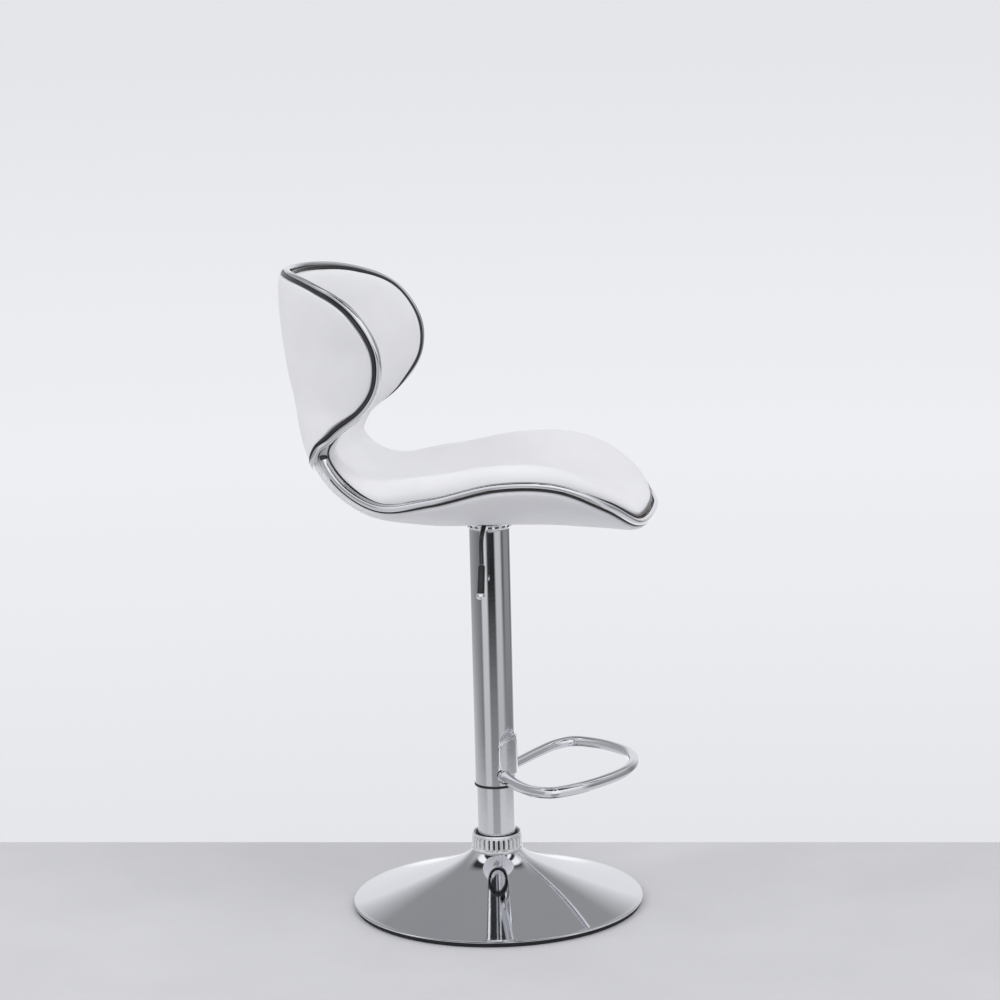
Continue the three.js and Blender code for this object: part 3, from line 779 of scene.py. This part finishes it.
# The saddle plate wraps the sleeve, seen here as upright sections from side to side.
SADDLE_ANGLE = 1.27
saddle_rings = []
for i in range(81):
    share = -1 + 2 * i / 80
    angle = SADDLE_ANGLE * share
    arch = math.cos(share * math.pi / 2) ** 2
    corner = 7 * (1 - math.sqrt(max(0, 1 - max(0, (abs(share) - 0.84) / 0.16) ** 2)))
    lower = 186 - 9 * min(1, 2 * arch) + corner
    upper = 222 + 6 * math.sqrt(arch) - corner
    section = rounded([(27.4, lower), (29.9, lower, 1.2), (29.9, upper, 1.2), (27.4, upper)], 0.3)
    saddle_rings.append([(r * math.cos(angle), r * math.sin(angle), z) for r, z in section])
solid("footrest_plate", *skin(saddle_rings), "upper", ["footrest_saddle"])


# ---------- lever ----------

PIVOT = np.array((0.0, -32.0, 521.0))
ARM = ((0, 2, 525.4), (0, -14, 524.6), (0, -32, 521), (-1.6, -46, 513.4), (-2.8, -58.5, 502.5),
       (-2.2, -67, 489), (-1.3, -73, 471))
arm = solid("lever_rod", *skin(tube(ARM, 3.0, 90, 20)), "lever", ["lever_arm"])


def across(profile, segments=40):
    """A profile of (radius, x) turned about the lever's pivot line."""
    verts, faces = turned(profile, segments)
    return [(z, x + PIVOT[1], y + PIVOT[2]) for x, y, z in verts], faces


boolean(arm, across([(0, -7), (6.5, -7), (6.5, 7), (0, 7)]), "UNION")
boolean(arm, across([(0, -20), (2.9, -20), (2.9, 20), (0, 20)]), "DIFFERENCE")
GRIP_TOP = Vector((-1.3, -73, 470.6))
GRIP_TILT = Matrix.Rotation(-0.4, 3, "X")


def on_lever(profile, segments=64):
    """A profile of (radius, distance along the grip) turned about the grip's line."""
    verts, faces = turned(profile, segments)
    return [tuple(GRIP_TILT @ Vector(v) + GRIP_TOP) for v in verts], faces


solid("lever_handle", *on_lever(rounded(
    [(0, -0.4), (3.8, -0.4, 1), (4.4, -2.2, 1), (4.5, -16), (4.8, -36.6, 0.6), (4.5, -37.6),
     (0, -37.6)], 0.5)), "lever", ["lever_grip"])
solid("lever_tip", *on_lever(rounded(
    [(0, -37.9), (5.4, -37.9, 0.6), (5.8, -39.6, 1), (5.6, -42.6, 1.4), (4.0, -44.6, 1.4),
     (0, -45.2)], 0.5)), "lever", ["lever_cap"])


# ---------- camera, floor and light ----------

CAMERA_YAW = math.radians(7.7)
CAMERA_DISTANCE = 3.5
CAMERA_HEIGHT = 1.146
CAMERA_PITCH = math.radians(9.79)
CAMERA_SIDE = math.radians(0.241)
CAMERA_ROLL = math.radians(1.37)
CAMERA_LENS = 98.2
turn = Matrix.Rotation(CAMERA_YAW, 3, "Z")
forward = Vector((math.sin(CAMERA_SIDE) * math.cos(CAMERA_PITCH),
                  math.cos(CAMERA_SIDE) * math.cos(CAMERA_PITCH), -math.sin(CAMERA_PITCH)))
level = Vector((math.cos(CAMERA_SIDE), -math.sin(CAMERA_SIDE), 0))
upward = level.cross(forward)
right = level * math.cos(CAMERA_ROLL) - upward * math.sin(CAMERA_ROLL)
above = level * math.sin(CAMERA_ROLL) + upward * math.cos(CAMERA_ROLL)
camera = placed("camera", bpy.data.cameras.new("camera"))
axes = Matrix((turn @ right, turn @ above, turn @ -forward)).transposed()
spot = turn @ Vector((0, -CAMERA_DISTANCE, CAMERA_HEIGHT)) + Vector((AXIS_X, 0, 0))
camera.matrix_world = Matrix.Translation(spot) @ axes.to_4x4()
camera.data.sensor_width = 36
camera.data.lens = CAMERA_LENS
camera.data.clip_end = 200
bpy.context.scene.camera = camera


def ground_material():
    """A pale grey floor with a faint mottle."""
    made = bpy.data.materials.new("floor_paper")
    made.use_nodes = True
    tree = made.node_tree
    shader = tree.nodes["Principled BSDF"]
    shader.inputs["Specular IOR Level"].default_value = 0.2
    coords = tree.nodes.new("ShaderNodeTexCoord").outputs["Object"]
    mottle = ranged(tree, noise(tree, coords, 6), 0, 1)
    link(tree, blended(tree, (0.60, 0.60, 0.615), (0.63, 0.63, 0.645), mottle),
         shader.inputs["Base Color"])
    link(tree, ranged(tree, noise(tree, coords, 90), 0.55, 0.7), shader.inputs["Roughness"])
    grain = tree.nodes.new("ShaderNodeBump")
    grain.inputs["Distance"].default_value = 0.0001
    link(tree, noise(tree, coords, 300), grain.inputs["Height"])
    link(tree, grain.outputs["Normal"], shader.inputs["Normal"])
    return made


# The floor ends in a line a little behind the base; the backdrop is the world's colour.
FLOOR_BACK = 0.264
FLOOR_TURN = math.radians(-4.9)
FLOOR_DROP = 0.0002
floor_mesh = bpy.data.meshes.new("floor")
floor_mesh.from_pydata([(-9, -12, 0), (9, -12, 0), (9, 0, 0), (-9, 0, 0)], [], [(0, 1, 2, 3)])
floor = placed("floor", floor_mesh)
back_edge = turn @ Vector((0, FLOOR_BACK, 0))
floor.location = (AXIS_X + back_edge.x, back_edge.y, -FLOOR_DROP)
floor.rotation_euler.z = CAMERA_YAW + FLOOR_TURN
floor.visible_glossy = False
floor_mesh.materials.append(ground_material())


def shade(grey, reflected=0.80):
    """Light that a chrome part shows as this display grey, slightly blue."""
    value = (grey / 255) ** 2.2 / reflected
    return (value * 0.985, value * 0.99, value * 1.025)


def studio_world():
    """A plain backdrop where it is seen directly, a simple grey studio where chrome mirrors
    it, and soft light, stronger from behind, for everything else."""
    world = bpy.data.worlds.new("studio")
    bpy.context.scene.world = world
    world.use_nodes = True
    tree = world.node_tree
    tree.nodes.clear()
    coords = tree.nodes.new("ShaderNodeTexCoord").outputs["Generated"]
    mapping = tree.nodes.new("ShaderNodeMapping")
    mapping.vector_type = "POINT"
    mapping.inputs["Rotation"].default_value = (0, 0, -CAMERA_YAW)
    link(tree, coords, mapping.inputs["Vector"])
    split = tree.nodes.new("ShaderNodeSeparateXYZ")
    link(tree, mapping.outputs["Vector"], split.inputs["Vector"])

    def math_node(operation, a, b):
        """An operation on two values, each a number or an output."""
        node = tree.nodes.new("ShaderNodeMath")
        node.operation = operation
        for socket, value in zip(node.inputs, (a, b)):
            if isinstance(value, (int, float)):
                socket.default_value = value
            else:
                link(tree, value, socket)
        return node.outputs[0]

    back = math_node("MULTIPLY", split.outputs["Y"], -1)
    angle = math_node("ARCTAN2", split.outputs["X"], back)
    place = math_node("ADD", math_node("DIVIDE", angle, 2 * math.pi), 0.5)

    def ramp(value, stops):
        """A colour for a value from 0 to 1; a stop is (value, colour)."""
        node = tree.nodes.new("ShaderNodeValToRGB")
        elements = node.color_ramp.elements
        while len(elements) < len(stops):
            elements.new(0.5)
        for element, (position, color) in zip(elements, stops):
            element.position = position
            element.color = (*color, 1)
        link(tree, value, node.inputs["Fac"])
        return node.outputs["Color"]

    def greys(*stops):
        """Greys round the studio; a stop is (degrees right of the camera, display grey)."""
        return ramp(place, [(degrees / 360 + 0.5, shade(grey)) for degrees, grey in stops])

    def furnished(backdrop, left_rear, left_near, left_panel, gap, right_panel, seam, right_wall):
        """The studio at one height: a backdrop behind the stool, a left wall that changes from
        its rear to its near end, a panel on each side of the camera, the gap it looks through,
        and a right wall with a seam at each end."""
        return greys(
            (-180, backdrop), (-165, backdrop), (-148, left_rear), (-60, left_near),
            (-50, left_panel), (-25, left_panel), (-15, gap), (20, gap), (30, right_panel),
            (55, right_panel), (70, seam), (85, right_wall), (115, right_wall), (130, seam),
            (155, backdrop), (180, backdrop))

    def ceiling(rear, dark, *strips):
        """A ceiling, dark but for its rear and strip lights, each (degrees, half width, grey)."""
        stops = [(-180, rear), (-148, rear), (-138, dark)]
        for middle, half, strip_grey in strips:
            stops += [(middle - half - 6, dark), (middle - half, strip_grey),
                      (middle + half, strip_grey), (middle + half + 6, dark)]
        return greys(*stops, (148, rear), (180, rear))

    def blend(a, b, edge, full):
        """Colour a where the direction's height is at edge, colour b where it is at full."""
        return blended(tree, a, b, ranged(tree, split.outputs["Z"], 0, 1, edge, full))

    # From the floor up; each height has its own greys for the same furniture.
    floor_tones = furnished(225, 190, 180, 185, 150, 190, 190, 190)
    low_tones = furnished(230, 185, 115, 180, 120, 170, 130, 120)
    level_tones = furnished(230, 150, 105, 190, 40, 180, 80, 130)
    horizon_tones = furnished(210, 150, 150, 200, 230, 200, 120, 135)
    upper_tones = furnished(135, 135, 215, 230, 240, 240, 190, 170)
    high_tones = ceiling(135, 50, (-105, 12, 235), (-14, 2, 170), (14, 2, 215), (84, 6, 230),
                         (122, 9, 230))
    below = blend(floor_tones, low_tones, -0.285, -0.255)
    around = blend(below, level_tones, -0.25, -0.2)
    ahead = blend(around, horizon_tones, -0.18, -0.11)
    above = blend(ahead, upper_tones, 0.3, 0.56)
    mirrored_light = blend(above, high_tones, 0.68, 0.78)

    # The backdrop is lightest at the middle of the stool and falls off above and below it.
    heights = ((-0.3, 230), (-0.15, 240), (0.0, 230), (0.3, 220))
    wall = ramp(math_node("ADD", split.outputs["Z"], 0.5),
                [(height + 0.5, shade(grey, 1)) for height, grey in heights])
    rearward = ranged(tree, split.outputs["Y"], 0, 1, -0.8, 0.8)
    soft_light = blended(tree, (0.64, 0.645, 0.67), (0.94, 0.94, 0.97), rearward)

    def light(color):
        """Light of a colour from all round."""
        node = tree.nodes.new("ShaderNodeBackground")
        link(tree, color, node.inputs["Color"])
        return node.outputs["Background"]

    def chosen(kind, otherwise, picked):
        """The picked light for rays of one kind, the other light for the rest."""
        node = tree.nodes.new("ShaderNodeMixShader")
        link(tree, rays.outputs[kind], node.inputs["Fac"])
        link(tree, otherwise, node.inputs[1])
        link(tree, picked, node.inputs[2])
        return node.outputs["Shader"]

    rays = tree.nodes.new("ShaderNodeLightPath")
    by_glossy = chosen("Is Glossy Ray", light(soft_light), light(mirrored_light))
    by_camera = chosen("Is Camera Ray", by_glossy, light(wall))
    output = tree.nodes.new("ShaderNodeOutputWorld")
    link(tree, by_camera, output.inputs["Surface"])


studio_world()


def lamp(name, degrees, height, distance, size, power):
    """A soft box at an angle right of the camera, aimed at the seat; mirrors don't show it."""
    data = bpy.data.lights.new(name, "AREA")
    data.shape = "RECTANGLE"
    data.size, data.size_y = size
    data.energy = power
    box = placed(name, data)
    box.visible_glossy = False
    angle = CAMERA_YAW + math.radians(degrees)
    box.location = (AXIS_X + distance * math.sin(angle), -distance * math.cos(angle), height)
    aim = Vector((AXIS_X, 0, 0.5)) - box.location
    box.rotation_euler = aim.to_track_quat("-Z", "Y").to_euler()


lamp("key_light", 40, 2.9, 1.3, (1.3, 1.0), 18)
lamp("fill_light", -70, 1.9, 2.2, (1.2, 1.0), 14)

bpy.context.scene.view_settings.view_transform = "Standard"
bpy.context.scene.view_settings.look = "None"
